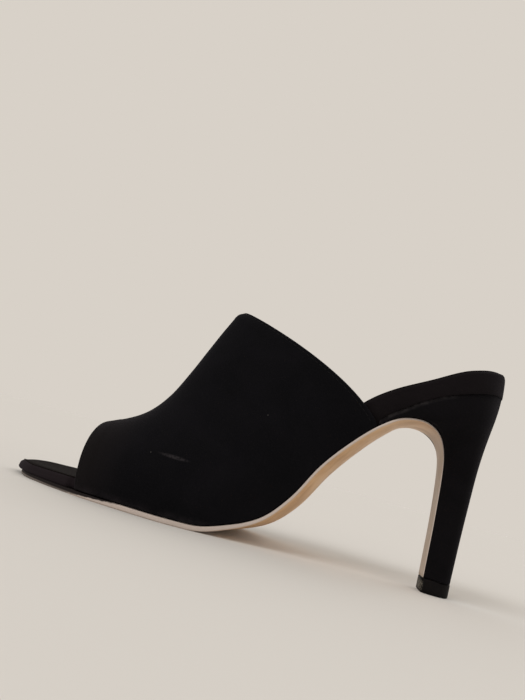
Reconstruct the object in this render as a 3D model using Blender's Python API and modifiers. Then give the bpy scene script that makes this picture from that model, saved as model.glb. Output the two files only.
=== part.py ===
# High-heeled open-toe mule, right shoe, built from its own sections.
# +X runs from the toe to the heel, +Z is up and the inner side of the foot is at -Y.
# The origin is on the floor under the tread, the middle of the flat of the forefoot.
import math
import bpy
import bmesh
import numpy as np

# Lengths along the shoe, in metres from the tread
toe_reach = 0.0880
arch_reach = 0.0880
seat_reach = 0.1225

# Heights above the floor
arch_height = 0.0718
seat_height = 0.0940
instep_height = 0.1022
peep_height = 0.0338

# Widths across the shoe
ball_width = 0.0750
waist_width = 0.0460
seat_width = 0.0530
tip_width = 0.0122

# The foot of the heel, and how far the seat stands out behind it
tip_length = 0.0122
seat_overhang = 0.0057
tip_front = seat_reach - seat_overhang - tip_length

# The upper: where its edges stand and how full it is
peep_base = 0.0462
peep_lean = 0.0058
instep_reach = 0.0035
topline_base = 0.0672
upper_fullness = 0.0042
topline_bow = 0.0063
crest_offset = 0.0050

# Thicknesses
outsole_edge = 0.0022
waist_crown = 0.0030
upper_wall = 0.0018
insole_toe = 0.0051
insole_waist = 0.0108
insole_seat = 0.0084
top_piece_height = 0.0060

# Rounds, steps and clearances
toe_round = 0.0150
seat_round = 0.0210
sole_edge_round = 0.0006
insole_edge_round = 0.0020
seat_end_round = 0.0045
seat_dish = 0.0008
insole_step = 0.0006
heel_step = 0.0007
topline_clearance = 0.0026
top_piece_proud = 0.0005
wing_start = 0.0700
least_half = 0.0006
gap = 0.0003

# Which way the inner side of the foot looks along Y
inner_side = -1.0

# Shares: where the heel is widest along its depth, how far the top piece keeps its full width,
# and how the topline's bow leans towards its foot
heel_widest = 0.58
tip_square = 0.35
tip_front_width = 0.86
bow_lean = 0.6

# How finely the pieces are cut
station_spacing = 0.0062
end_steps = 8
section_steps = 9
belly_steps = 3
outsole_steps = 7
insole_steps = 3
heel_steps = 11
heel_wing_rows = 12
heel_shaft_rows = 6
tip_steps = 8


def table(columns, *rows):
    """Named columns, each the array of its values down the rows."""
    return dict(zip(columns.split(), np.array(rows, dtype=float).T))


# Top face of the outsole, from the toe to the end of the curve under the ball.
# run: share of toe_reach, rise: share of arch_height above the outsole's own edge,
# inner and outer: shares of ball_width, edge: share of outsole_edge, crown: share of waist_crown
forepart = table(
    "run rise inner outer edge crown",
    (-1.000, 0.012, 0.225, 0.180, 0.80, 0.00),
    (-0.860, 0.003, 0.300, 0.232, 0.85, 0.00),
    (-0.680, 0.000, 0.393, 0.318, 0.95, 0.00),
    (-0.430, 0.000, 0.470, 0.425, 1.00, 0.00),
    (-0.135, 0.000, 0.490, 0.503, 1.00, 0.00),
    (0.035, 0.000, 0.440, 0.512, 1.00, 0.00),
)

# The waist, up to where the insole leaves the outsole.
# run: share of arch_reach, rise: share of arch_height, inner and outer: shares of waist_width
waist = table(
    "run rise inner outer edge crown",
    (0.216, 0.088, 0.565, 0.760, 1.00, 0.35),
    (0.341, 0.167, 0.460, 0.655, 1.00, 0.75),
    (0.455, 0.329, 0.385, 0.575, 1.00, 1.10),
    (0.563, 0.565, 0.350, 0.525, 1.00, 1.20),
    (0.682, 0.752, 0.355, 0.500, 1.00, 1.05),
)

# The outsole runs on over the top of the arch. The columns are those of the waist.
arch = table(
    "run rise inner outer edge crown",
    (0.807, 0.905, 0.380, 0.480, 0.95, 0.80),
    (0.909, 0.983, 0.385, 0.445, 0.83, 0.58),
    (1.000, 1.000, 0.355, 0.385, 0.70, 0.36),
)

# Then it lies down the front of the heel as a flap.
# run: share of the way from arch_reach to tip_front, rise: share of arch_height,
# inner and outer: shares of tip_width
flap = table(
    "run rise inner outer edge crown",
    (0.380, 0.980, 1.080, 1.120, 0.58, 0.18),
    (0.685, 0.918, 0.800, 0.800, 0.48, 0.08),
    (0.862, 0.794, 0.620, 0.620, 0.40, 0.03),
    (0.940, 0.585, 0.530, 0.530, 0.38, 0.02),
    (0.978, 0.376, 0.490, 0.490, 0.38, 0.02),
    (1.000, 0.088, 0.450, 0.450, 0.38, 0.02),
)

# Underside of the insole, behind the waist.
# run: share of the way from arch_reach * waist run to seat_reach, rise: share of seat_height,
# inner and outer: shares of seat_width
seat = table(
    "run rise inner outer",
    (0.100, 0.664, 0.325, 0.440),
    (0.187, 0.719, 0.345, 0.442),
    (0.309, 0.782, 0.380, 0.447),
    (0.530, 0.880, 0.450, 0.470),
    (0.732, 0.948, 0.495, 0.495),
    (0.862, 0.979, 0.505, 0.505),
    (1.000, 1.000, 0.500, 0.500),
)

# Height of the insole's side, at shares of its own length from the toe.
insole_height = table(
    "along toe waist seat",
    (0.00, 1.00, 0.00, 0.00),
    (0.30, 0.85, 0.12, 0.00),
    (0.50, 0.35, 0.60, 0.00),
    (0.68, 0.00, 1.04, 0.00),
    (0.76, 0.00, 0.80, 0.27),
    (0.88, 0.00, 0.00, 1.00),
    (1.00, 0.00, 0.00, 1.00),
)

# Sections of the upper, from the open toe to the topline.
# base: share of the way along the feather line from peep_base to topline_base,
# run: share of the way from the top of the open toe to the instep,
# rise: share of the way from peep_height to instep_height,
# full: share of upper_fullness, level: height of the fullest point, bow: share of topline_bow,
# crest: share of crest_offset, power: how square the shoulder of the section is
upper_sections = table(
    "base run rise full level bow crest power",
    (0.000, 0.000, 0.000, 0.25, 0.30, -0.36, 1.00, 2.35),
    (0.125, 0.140, 0.043, 0.45, 0.28, -0.20, 1.00, 2.25),
    (0.275, 0.340, 0.132, 0.70, 0.27, 0.00, 1.00, 2.15),
    (0.425, 0.510, 0.291, 0.95, 0.28, 0.18, 0.90, 2.05),
    (0.565, 0.636, 0.494, 1.00, 0.30, 0.45, 0.80, 2.05),
    (0.690, 0.740, 0.682, 1.05, 0.32, 0.73, 0.65, 2.10),
    (0.800, 0.840, 0.855, 1.05, 0.34, 0.91, 0.50, 2.15),
    (0.905, 0.928, 0.974, 0.85, 0.35, 1.00, 0.45, 2.20),
    (1.000, 1.000, 1.000, 0.50, 0.36, 1.00, 0.40, 2.25),
)

# Sections of the heel, each from a point on its front to a point on its back.
# front: share of the way down the heel's front from the wings,
# run: share of the way back from tip_front + tip_length to the seat's end,
# rise: share of seat_height above the top piece, wide: share of half the tip_width,
# seat: how much of the seat's own form is left
heel_sections = table(
    "front run rise wide seat",
    (0.000, 0.90, 0.985, 4.28, 1.00),
    (0.120, 0.90, 0.967, 4.20, 0.95),
    (0.230, 0.84, 0.940, 3.90, 0.80),
    (0.300, 0.75, 0.898, 3.40, 0.55),
    (0.370, 0.62, 0.836, 2.75, 0.30),
    (0.460, 0.42, 0.716, 2.08, 0.10),
    (0.540, 0.28, 0.582, 1.70, 0.00),
    (0.630, 0.18, 0.425, 1.45, 0.00),
    (0.790, 0.08, 0.235, 1.19, 0.00),
    (1.000, 0.00, 0.000, 1.00, 0.00),
)

colours = {
    "upper_suede": ((0.012, 0.011, 0.013, 1.0), 0.95),
    "insole_suede": ((0.020, 0.019, 0.021, 1.0), 0.90),
    "sole_leather": ((0.560, 0.360, 0.230, 1.0), 0.50),
    "heel_suede": ((0.012, 0.011, 0.013, 1.0), 0.95),
    "heel_rubber": ((0.015, 0.015, 0.016, 1.0), 0.60),
}


def smooth_curve(knots, values, at):
    """A curve through the values that never swings past them."""
    knots = np.asarray(knots, dtype=float)
    values = np.asarray(values, dtype=float)
    steps = np.diff(knots)
    rates = np.diff(values) / steps
    slopes = np.zeros(len(knots))
    slopes[0] = rates[0]
    slopes[-1] = rates[-1]
    for i in range(1, len(knots) - 1):
        before = rates[i - 1]
        after = rates[i]
        if before * after > 0:
            left = 2 * steps[i] + steps[i - 1]
            right = steps[i] + 2 * steps[i - 1]
            slopes[i] = (left + right) / (left / before + right / after)
    at = np.clip(at, knots[0], knots[-1])
    span = np.clip(np.searchsorted(knots, at, side="right") - 1, 0, len(steps) - 1)
    h = steps[span]
    u = (at - knots[span]) / h
    return ((1 + 2 * u) * (1 - u) ** 2 * values[span] + u * (1 - u) ** 2 * h * slopes[span]
            + u * u * (3 - 2 * u) * values[span + 1] + u * u * (u - 1) * h * slopes[span + 1])


class Path:
    """A line along the shoe with a place, an upward direction and the sole's half widths."""

    def __init__(self, x, z, inner, outer, edge=None, crown=None):
        self.knots = np.concatenate(([0.0], np.cumsum(np.hypot(np.diff(x), np.diff(z)))))
        self.length = self.knots[-1]
        self.columns = {"x": x, "z": z, "inner": inner, "outer": outer, "edge": edge, "crown": crown}
        self.fine = np.arange(0.0, self.length, gap / 2)
        self.fine_x = self.value("x", self.fine)
        self.fine_z = self.value("z", self.fine)

    def value(self, column, s):
        return smooth_curve(self.knots, self.columns[column], s)

    def at_x(self, x):
        return float(np.interp(x, self.fine_x, self.fine))

    def height_at_x(self, x):
        return float(np.interp(x, self.fine_x, self.fine_z))

    def point(self, s, lift=0.0):
        """Place in the plane of the shoe's length, lifted off the line towards the foot."""
        step = self.length / len(self.fine)
        ahead = min(s + step, self.length)
        behind = max(s - step, 0.0)
        tangent = np.array([self.value("x", ahead) - self.value("x", behind),
                            self.value("z", ahead) - self.value("z", behind)])
        tangent /= np.linalg.norm(tangent)
        up = np.array([-tangent[1], tangent[0]])
        return np.array([self.value("x", s), self.value("z", s)]) + up * lift, up

    def closing(self, s, seat_end):
        """Share of the full width left where the outline rounds in at its ends."""
        share = 1.0
        if s < toe_round:
            share = math.sqrt(max(0.0, 1 - (1 - s / toe_round) ** 2))
        left = self.length - s
        if seat_end and left < seat_round:
            share = math.sqrt(max(0.0, 1 - (1 - left / seat_round) ** 2))
        return share

    def sides(self, s, inset=0.0, seat_end=False):
        """Y of the two edges, the lower one first."""
        inner = float(self.value("inner", s))
        outer = float(self.value("outer", s))
        middle = (outer - inner) / 2
        half = max((outer + inner) / 2 * self.closing(s, seat_end) - inset, least_half)
        return sorted((inner_side * (half - middle), -inner_side * (half + middle)))


def joined(column, *pieces):
    return np.concatenate([part[column] * size + start for part, size, start in pieces])


def forepart_rise():
    """The outsole's underside is flat on the floor under the tread."""
    return outsole_edge * forepart["edge"] + arch_height * forepart["rise"]


def sole_path():
    drop = tip_front - arch_reach
    x = joined("run", (forepart, toe_reach, 0), (waist, arch_reach, 0), (arch, arch_reach, 0),
               (flap, drop, arch_reach))
    rise = flap["rise"] * arch_height
    rise[-1] = top_piece_height + gap
    z = np.concatenate((forepart_rise(), waist["rise"] * arch_height, arch["rise"] * arch_height, rise))
    widths = [joined(side, (forepart, ball_width, 0), (waist, waist_width, 0), (arch, waist_width, 0),
                     (flap, tip_width, 0)) for side in ("inner", "outer")]
    edge, crown = [joined(kind, *[(part, size, 0) for part in (forepart, waist, arch, flap)])
                   for kind, size in (("edge", outsole_edge), ("crown", waist_crown))]
    return Path(x, z, *widths, edge, crown)


def bed_path():
    """The underside of the insole: along the outsole, then over the heel's seat."""
    start = float(waist["run"][-1]) * arch_reach
    x = joined("run", (forepart, toe_reach, 0), (waist, arch_reach, 0), (seat, seat_reach - start, start))
    z = np.concatenate((forepart_rise(), waist["rise"] * arch_height, seat["rise"] * seat_height))
    widths = [joined(side, (forepart, ball_width, 0), (waist, waist_width, 0), (seat, seat_width, 0))
              for side in ("inner", "outer")]
    return Path(x, z, *widths)


def stations(path, marks, seat_end):
    """Places of the sections: close together round the ends, and exactly at the marks."""
    angles = math.pi / 2 * (np.arange(end_steps) + 0.5) / end_steps
    places = [toe_round * (1 - math.cos(a)) for a in angles]
    finish = path.length
    if seat_end:
        finish = path.length - seat_round
        places += [path.length - seat_round * (1 - math.cos(a)) for a in angles]
    fixed = sorted([toe_round, finish] + list(marks))
    for a, b in zip(fixed[:-1], fixed[1:]):
        count = max(1, math.ceil((b - a) / station_spacing))
        places += list(np.linspace(a, b, count, endpoint=False))
    return sorted(places + [finish])


def new_object(name, verts, faces, material, parts, smooth_angle=35):
    mesh = bpy.data.meshes.new(name)
    mesh.from_pydata([tuple(map(float, v)) for v in verts], [], faces)
    build = bmesh.new()
    build.from_mesh(mesh)
    bmesh.ops.recalc_face_normals(build, faces=build.faces)
    build.to_mesh(mesh)
    build.free()
    mesh.shade_smooth()
    mesh.set_sharp_from_angle(angle=math.radians(smooth_angle))
    mesh.materials.append(material)
    obj = bpy.data.objects.new(name, mesh)
    parts.objects.link(obj)
    return obj


def loft(name, rings, material, parts):
    """A closed solid through rings of the same count, its ends closed by strips across."""
    count = len(rings[0])
    verts = [point for ring in rings for point in ring]
    faces = []
    for i in range(len(rings) - 1):
        for j in range(count):
            k = (j + 1) % count
            faces.append((i * count + j, i * count + k, (i + 1) * count + k, (i + 1) * count + j))
    for first in (0, (len(rings) - 1) * count):
        for j in range(count // 2 - 1):
            corners = (first + j, first + j + 1, first + count - 2 - j, first + count - 1 - j)
            faces.append(tuple(dict.fromkeys(corners)))
        if count % 2:
            middle = first + count // 2
            faces.append((middle - 1, middle, middle + 1))
    return new_object(name, verts, faces, material, parts)


def across(place, up, y, lift):
    return (place[0] + up[0] * lift, y, place[1] + up[1] * lift)


def outsole_ring(path, s):
    place, up = path.point(s)
    low, high = path.sides(s)
    edge = float(path.value("edge", s))
    crown = float(path.value("crown", s))
    corner = min(sole_edge_round, (high - low) / 5, edge / 3)
    ring = [(low + corner, 0.0), (low, -corner), (low, corner - edge)]
    for v in np.linspace(0.0, 1.0, outsole_steps + 1):
        y = low + corner + (high - low - 2 * corner) * v
        ring.append((y, -edge - crown * (1 - (2 * v - 1) ** 2)))
    ring += [(high, corner - edge), (high, -corner), (high - corner, 0.0)]
    return [across(place, up, y, lift) for y, lift in ring]


def make_outsole(path, places, material, parts):
    return loft("outsole", [outsole_ring(path, s) for s in places], material, parts)


def insole_side(path, s):
    """Height of the insole's edge, rounded over at the toe and at the back."""
    share = s / path.length
    height = sum(float(smooth_curve(insole_height["along"], insole_height[name], share)) * size
                 for name, size in (("toe", insole_toe), ("waist", insole_waist), ("seat", insole_seat)))
    for near_end, turn in ((s, insole_edge_round), (path.length - s, seat_end_round)):
        if near_end < turn:
            height -= turn - math.sqrt(turn ** 2 - (turn - near_end) ** 2)
    return height


def insole_ring(path, s, inset):
    place, up = path.point(s)
    low, high = path.sides(s, inset, seat_end=True)
    height = insole_side(path, s)
    half = (high - low) / 2
    turn = min(insole_edge_round, half * 0.5)
    foot = min(gap, half * 0.2)
    middle = (low + high) / 2
    dish = seat_dish * min(1.0, half / (ball_width / 4))
    side = [(half - foot, gap), (half, gap + foot)]
    side += [(half - turn + turn * math.cos(a), height - turn + turn * math.sin(a))
             for a in np.linspace(0.0, math.pi / 2, insole_steps + 1)]
    side += [((half - turn) * v, height - dish * (1 - v * v))
             for v in np.linspace(1.0, 0.0, insole_steps, endpoint=False)[1:]]
    ring = [(-y, lift) for y, lift in side] + [(0.0, height - dish)] + side[::-1]
    return [across(place, up, middle + y, lift) for y, lift in ring]


def make_insole(path, places, covered, material, parts):
    """Full width where it shows, and inside the wall of the upper where that covers it."""
    under_upper = upper_wall + 2 * gap + insole_step
    rings = []
    for s in places:
        hidden = covered[0] <= s <= covered[1]
        rings.append(insole_ring(path, s, under_upper if hidden else insole_step))
    return loft("insole", rings, material, parts)


def upper_value(column, share):
    return float(smooth_curve(upper_sections["base"], upper_sections[column], share))


def upper_section(path, s, share):
    """One arch of the upper, from the inner feather line over the instep to the outer one."""
    base, _ = path.point(s, gap)
    low, high = path.sides(s)
    crest_start = -(peep_base + peep_lean)
    top = np.array([crest_start + upper_value("run", share) * (-instep_reach - crest_start),
                    peep_height + upper_value("rise", share) * (instep_height - peep_height)])
    axis = top - base
    length = np.linalg.norm(axis)
    back = np.array([axis[1], -axis[0]]) / length
    full = upper_fullness * upper_value("full", share)
    level = upper_value("level", share)
    bow = topline_bow * upper_value("bow", share)
    power = upper_value("power", share)
    crest = inner_side * crest_offset * upper_value("crest", share)

    def place(t, y):
        offset = bow * math.sin(math.pi * t ** bow_lean)
        x, z = base + axis * t + back * offset
        return (x, y, z)

    arch_points = []
    for edge, backwards in ((low, False), (high, True)):
        sign = math.copysign(1.0, edge)
        reach = edge + sign * full
        points = []
        for i in range(belly_steps):
            t = level * i / belly_steps
            points.append(place(t, reach - sign * full * ((level - t) / level) ** 2))
        for i in range(section_steps + 1):
            angle = math.pi / 2 * i / section_steps
            t = level + (1 - level) * math.sin(angle) ** (2 / power)
            shape = max(math.cos(angle), 0.0) ** (2 / power)
            points.append(place(min(t, 1.0), crest + (reach - crest) * shape))
        arch_points += points[::-1][1:] if backwards else points
    return arch_points


def make_upper(path, places, material, parts):
    first, last = places[0], places[-1]
    grid = [upper_section(path, s, (s - first) / (last - first)) for s in places]
    count = len(grid[0])
    verts = [point for section in grid for point in section]
    faces = []
    for i in range(len(grid) - 1):
        for j in range(count - 1):
            a = i * count + j
            faces.append((a, a + count, a + count + 1, a + 1))
    obj = new_object("upper", verts, faces, material, parts)
    face_outwards(obj)
    wall = obj.modifiers.new("wall", "SOLIDIFY")
    wall.thickness = upper_wall
    wall.offset = -1.0
    wall.use_even_offset = True
    wall.use_rim = True
    return obj


def face_outwards(obj):
    """The open shell's faces look away from the foot."""
    mesh = obj.data
    crest = max(mesh.polygons, key=lambda face: face.center.z)
    if crest.normal.z < 0:
        mesh.flip_normals()
    mesh.update()


def heel_value(column, share):
    return float(smooth_curve(heel_sections["front"], heel_sections[column], share))


def heel_ring(sole, bed, share, lifted=False):
    start = sole.at_x(wing_start)
    s = start + (sole.length - start) * share
    front, _ = sole.point(s, gap)
    tip_back = tip_front + tip_length
    foot = top_piece_height + gap
    if share == 1.0:
        front[1] = foot
    back = np.array([tip_back + heel_value("run", share) * (seat_reach - tip_back),
                     foot + heel_value("rise", share) * (seat_height - foot)])
    seat_front = np.array([wing_start, bed.height_at_x(wing_start)])
    seat_back = np.array([seat_reach, seat_height])
    chord = (seat_back[1] - seat_front[1]) / (seat_back[0] - seat_front[0])
    form = heel_value("seat", share)

    def seat_bow(x):
        return bed.height_at_x(x) - (seat_front[1] + chord * (x - seat_front[0]))

    low, high = sorted(sole.sides(s))
    middle = (high + low) / 2
    front_half = high - middle
    widest = tip_width / 2 * heel_value("wide", share)
    points = []
    for i in range(heel_steps + 1):
        u = (1 - math.cos(math.pi * i / heel_steps)) / 2
        x, z = front + (back - front) * u
        z += form * (seat_bow(x) - (1 - u) * seat_bow(front[0]) - u * seat_bow(back[0]))
        if lifted:
            z = bed.height_at_x(x)
        if u < heel_widest:
            half = front_half + (widest - front_half) * math.sin(math.pi / 2 * u / heel_widest)
        else:
            half = widest * math.sqrt(max(0.0, 1 - ((u - heel_widest) / (1 - heel_widest)) ** 2))
        left, right = middle - half, middle + half
        at = bed.at_x(x + (seat_reach - back[0]) * u)
        seat_left, seat_right = sorted(bed.sides(at, heel_step + insole_step, seat_end=True))
        points.append((x, z, left + form * (seat_left - left), right + form * (seat_right - right)))
    x, z, left, right = points.pop()
    ring = [(x, left, z) for x, z, left, _ in points] + [(x, (left + right) / 2, z)]
    return ring + [(x, right, z) for x, z, _, right in points[::-1]]


def make_heel(sole, bed, material, parts):
    wings_end = float(heel_sections["front"][heel_sections["seat"] == 0.0][0])
    shares = np.concatenate((np.linspace(0.0, wings_end, heel_wing_rows, endpoint=False),
                             np.linspace(wings_end, 1.0, heel_shaft_rows + 1)))
    rings = [heel_ring(sole, bed, 0.0, lifted=True)]
    rings += [heel_ring(sole, bed, float(share)) for share in shares]
    return loft("heel", rings, material, parts)


def make_top_piece(material, parts):
    """Rubber top piece, the shape of the heel's foot and a little proud of it."""
    front = tip_front - top_piece_proud
    length = tip_length + top_piece_proud * 1.5
    half = tip_width / 2 + top_piece_proud * 0.5
    outline = [(front, half * tip_front_width)]
    for i in range(tip_steps + 1):
        angle = math.pi / 2 * i / tip_steps
        outline.append((front + length * (tip_square + (1 - tip_square) * math.sin(angle)),
                        half * math.cos(angle)))
    ring = [(x, -y) for x, y in outline] + [(x, y) for x, y in outline[-2::-1]]
    rings = [[(x, y, z) for x, y in ring] for z in (0.0, top_piece_height)]
    return loft("top_piece", rings, material, parts)


def make_material(name):
    colour, roughness = colours[name]
    material = bpy.data.materials.new(name)
    material.use_nodes = True
    shader = material.node_tree.nodes["Principled BSDF"]
    shader.inputs["Base Color"].default_value = colour
    shader.inputs["Roughness"].default_value = roughness
    shader.inputs["Metallic"].default_value = 0.0
    return material


def main():
    for obj in list(bpy.data.objects):
        bpy.data.objects.remove(obj)
    parts = bpy.data.collections.new("mule_shoe")
    bpy.context.scene.collection.children.link(parts)
    materials = {name: make_material(name) for name in colours}
    sole = sole_path()
    bed = bed_path()
    front = sole.at_x(-peep_base)
    back = sole.at_x(topline_base)
    tread_end = sole.at_x(float(forepart["run"][-1]) * toe_reach)
    marks = [front, tread_end, back]
    sole_places = stations(sole, marks, False)
    covered = (bed.at_x(-peep_base - peep_lean / 2), back + topline_clearance)
    step = 4 * gap
    bed_marks = [covered[0] - step, covered[0], front, back, covered[1], covered[1] + step]
    bed_places = stations(bed, bed_marks, True)
    upper_places = [s for s in sole_places if front <= s <= back]
    make_outsole(sole, sole_places, materials["sole_leather"], parts)
    make_insole(bed, bed_places, covered, materials["insole_suede"], parts)
    make_upper(sole, upper_places, materials["upper_suede"], parts)
    make_heel(sole, bed, materials["heel_suede"], parts)
    make_top_piece(materials["heel_rubber"], parts)


main()
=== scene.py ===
import math
import bpy
import bmesh
import numpy as np
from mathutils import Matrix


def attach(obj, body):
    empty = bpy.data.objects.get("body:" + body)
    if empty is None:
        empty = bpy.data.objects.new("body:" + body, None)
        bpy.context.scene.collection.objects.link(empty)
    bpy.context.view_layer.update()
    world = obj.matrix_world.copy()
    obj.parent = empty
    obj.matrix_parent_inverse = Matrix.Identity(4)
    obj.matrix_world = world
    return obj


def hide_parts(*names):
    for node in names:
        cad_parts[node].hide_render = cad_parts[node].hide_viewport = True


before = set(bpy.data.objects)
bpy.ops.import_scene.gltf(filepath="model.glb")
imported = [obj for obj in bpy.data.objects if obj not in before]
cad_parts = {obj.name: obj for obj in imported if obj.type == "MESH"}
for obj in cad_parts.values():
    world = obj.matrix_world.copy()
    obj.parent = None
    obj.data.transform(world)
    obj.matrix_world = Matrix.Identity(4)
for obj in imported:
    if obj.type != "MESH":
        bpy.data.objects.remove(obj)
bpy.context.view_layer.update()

# Looks of a high-heeled suede mule, right shoe. The toe looks to -X and its inner side to -Y.
millimetre = 0.001


def linearFromHex(text):
    channels = [int(text[i:i + 2], 16) / 255 for i in (1, 3, 5)]
    return tuple(c / 12.92 if c <= 0.04045 else ((c + 0.055) / 1.055) ** 2.4 for c in channels) + (1.0,)


def table(columns, *rows):
    return dict(zip(columns.split(), np.array(rows, dtype=float).T))


def linkObject(name, data):
    made = bpy.data.objects.new(name, data)
    bpy.context.scene.collection.objects.link(made)
    return made


# Camera: the photo's angle to the shoe, rolled as the photo is, just above the floor
view = {
    "place": (0.0489, -0.2836, 0.0333),
    "turn": (101.13, -15.58, 5.19),      # degrees about X, Y and Z
    "lens": 30.38,                       # mm, on a sensor 36 mm tall
    "sensor": 36.0, "clipStart": 0.01,
}


def makeCamera():
    data = bpy.data.cameras.new("photoCamera")
    data.sensor_fit = "VERTICAL"
    data.sensor_height = view["sensor"]
    data.lens = view["lens"]
    data.clip_start = view["clipStart"]
    camera = linkObject("photoCamera", data)
    camera.location = view["place"]
    camera.rotation_euler = [math.radians(a) for a in view["turn"]]
    bpy.context.scene.camera = camera


makeCamera()
print("camera placed")

# The last, in metres. Its sizes are those of the solids, only the toe, the crest and the leather's
# edge are drawn a little closer to the real shoe.
last = {
    "toeReach": 0.0894, "archReach": 0.0880, "seatReach": 0.1225, "tipFront": 0.1046,
    "archHeight": 0.0718, "seatHeight": 0.0940, "instepHeight": 0.1027, "peepHeight": 0.0338,
    "ballWidth": 0.0750, "waistWidth": 0.0460, "seatWidth": 0.0530,
    "tipWidth": 0.0122, "tipLength": 0.0122, "topPiece": 0.0060,
    "outsoleEdge": 0.0022, "waistCrown": 0.0030,
    "toeRound": 0.0150, "seatRound": 0.0210, "gap": 0.0003, "leastHalf": 0.0004,
    "smoothing": 0.0018,                 # how far a section's form runs into the next
    "samples": 1600, "frameStep": 0.002, "endRows": 22,
}

# Outsole: run, rise and half widths are shares of the sizes that soleLine and bedLine pair them with
forepart = table(
    "run rise inner outer edge crown",
    (-1.000, 0.010, 0.225, 0.110, 0.80, 0.00),
    (-0.860, 0.004, 0.300, 0.212, 0.85, 0.00),
    (-0.680, 0.000, 0.393, 0.318, 0.95, 0.00),
    (-0.430, 0.000, 0.470, 0.425, 1.00, 0.00),
    (-0.135, 0.000, 0.490, 0.503, 1.00, 0.00),
    (0.035, 0.000, 0.440, 0.512, 1.00, 0.00),
)
waist = table(
    "run rise inner outer edge crown",
    (0.216, 0.088, 0.565, 0.760, 0.88, 0.44),
    (0.341, 0.167, 0.460, 0.655, 0.70, 0.97),
    (0.455, 0.329, 0.385, 0.575, 0.58, 1.41),
    (0.563, 0.565, 0.350, 0.525, 0.52, 1.55),
    (0.682, 0.752, 0.355, 0.500, 0.52, 1.38),
)
arch = table(
    "run rise inner outer edge crown",
    (0.807, 0.905, 0.380, 0.480, 0.50, 1.08),
    (0.909, 0.983, 0.385, 0.445, 0.44, 0.64),
    (1.000, 1.000, 0.355, 0.385, 0.36, 0.30),
)
flap = table(
    "run rise inner outer edge crown",
    (0.380, 0.980, 1.050, 1.080, 0.28, 0.12),
    (0.685, 0.918, 0.760, 0.740, 0.24, 0.06),
    (0.862, 0.794, 0.580, 0.550, 0.22, 0.03),
    (0.930, 0.585, 0.500, 0.450, 0.20, 0.02),
    (0.965, 0.376, 0.460, 0.410, 0.20, 0.02),
    (0.985, 0.088, 0.430, 0.390, 0.20, 0.02),
)
seat = table(
    "run rise inner outer",
    (0.100, 0.671, 0.325, 0.440),
    (0.187, 0.734, 0.345, 0.442),
    (0.309, 0.795, 0.380, 0.447),
    (0.530, 0.882, 0.450, 0.470),
    (0.732, 0.927, 0.495, 0.495),
    (0.862, 0.952, 0.505, 0.505),
    (1.000, 0.973, 0.500, 0.500),
)


# A curve through the values that never swings past them
def smoothCurve(knots, values, at):
    steps = np.diff(knots)
    rates = np.diff(values) / steps
    slopes = np.zeros(len(knots))
    slopes[0] = rates[0]
    slopes[-1] = rates[-1]
    for i in range(1, len(knots) - 1):
        if rates[i - 1] * rates[i] > 0:
            left = 2 * steps[i] + steps[i - 1]
            right = steps[i] + 2 * steps[i - 1]
            slopes[i] = (left + right) / (left / rates[i - 1] + right / rates[i])
    at = np.clip(at, knots[0], knots[-1])
    span = np.clip(np.searchsorted(knots, at, side="right") - 1, 0, len(steps) - 1)
    h = steps[span]
    u = (at - knots[span]) / h
    return ((1 + 2 * u) * (1 - u) ** 2 * values[span] + u * (1 - u) ** 2 * h * slopes[span]
            + u * u * (3 - 2 * u) * values[span + 1] + u * u * (u - 1) * h * slopes[span + 1])


# Rounds a finely sampled line a little and keeps its two ends where they are
def eased(values, spread):
    reach = int(3 * spread)
    weights = np.exp(-0.5 * (np.arange(-reach, reach + 1) / spread) ** 2)
    start = 2 * values[0] - values[reach:0:-1]
    end = 2 * values[-1] - values[-2:-reach - 2:-1]
    return np.convolve(np.concatenate((start, values, end)), weights / weights.sum(), mode="valid")


# A line along the shoe: its place, its upward direction and the half widths beside it
class LastLine:
    def __init__(self, columns):
        x, z = columns["x"], columns["z"]
        knots = np.concatenate(([0.0], np.cumsum(np.hypot(np.diff(x), np.diff(z)))))
        self.length = knots[-1]
        self.fine = np.linspace(0.0, self.length, last["samples"])
        spread = last["smoothing"] / (self.fine[1] - self.fine[0])
        self.columns = {name: eased(smoothCurve(knots, values, self.fine), spread)
                        for name, values in columns.items()}

    def value(self, name, s):
        return np.interp(s, self.fine, self.columns[name])

    def atX(self, x):
        return float(np.interp(x, self.columns["x"], self.fine))

    def heightAtX(self, x):
        return np.interp(x, self.columns["x"], self.columns["z"])

    # Place and upward direction in the upright plane along the shoe
    def frame(self, s, lift=0.0):
        step = self.length * last["frameStep"]
        ahead = np.minimum(s + step, self.length)
        behind = np.maximum(s - step, 0.0)
        dx = self.value("x", ahead) - self.value("x", behind)
        dz = self.value("z", ahead) - self.value("z", behind)
        size = np.hypot(dx, dz)
        up = np.stack((-dz / size, dx / size), axis=-1)
        place = np.stack((self.value("x", s), self.value("z", s)), axis=-1)
        return place + up * lift, up

    # Y of the two edges, rounded in at the toe and at the end of the seat
    def sides(self, s, inset=0.0, seatEnd=False):
        s = np.asarray(s, dtype=float)
        share = np.sqrt(np.clip(1 - np.clip(1 - s / last["toeRound"], 0, 1) ** 2, 0, 1))
        if seatEnd:
            left = np.clip(1 - (self.length - s) / last["seatRound"], 0, 1)
            share = share * np.sqrt(np.clip(1 - left ** 2, 0, 1))
        inner, outer = self.value("inner", s), self.value("outer", s)
        middle = (outer - inner) / 2
        half = np.maximum((outer + inner) / 2 * share - inset, last["leastHalf"])
        return middle - half, middle + half


def joined(column, *pieces):
    return np.concatenate([part[column] * size + start for part, size, start in pieces])


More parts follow.
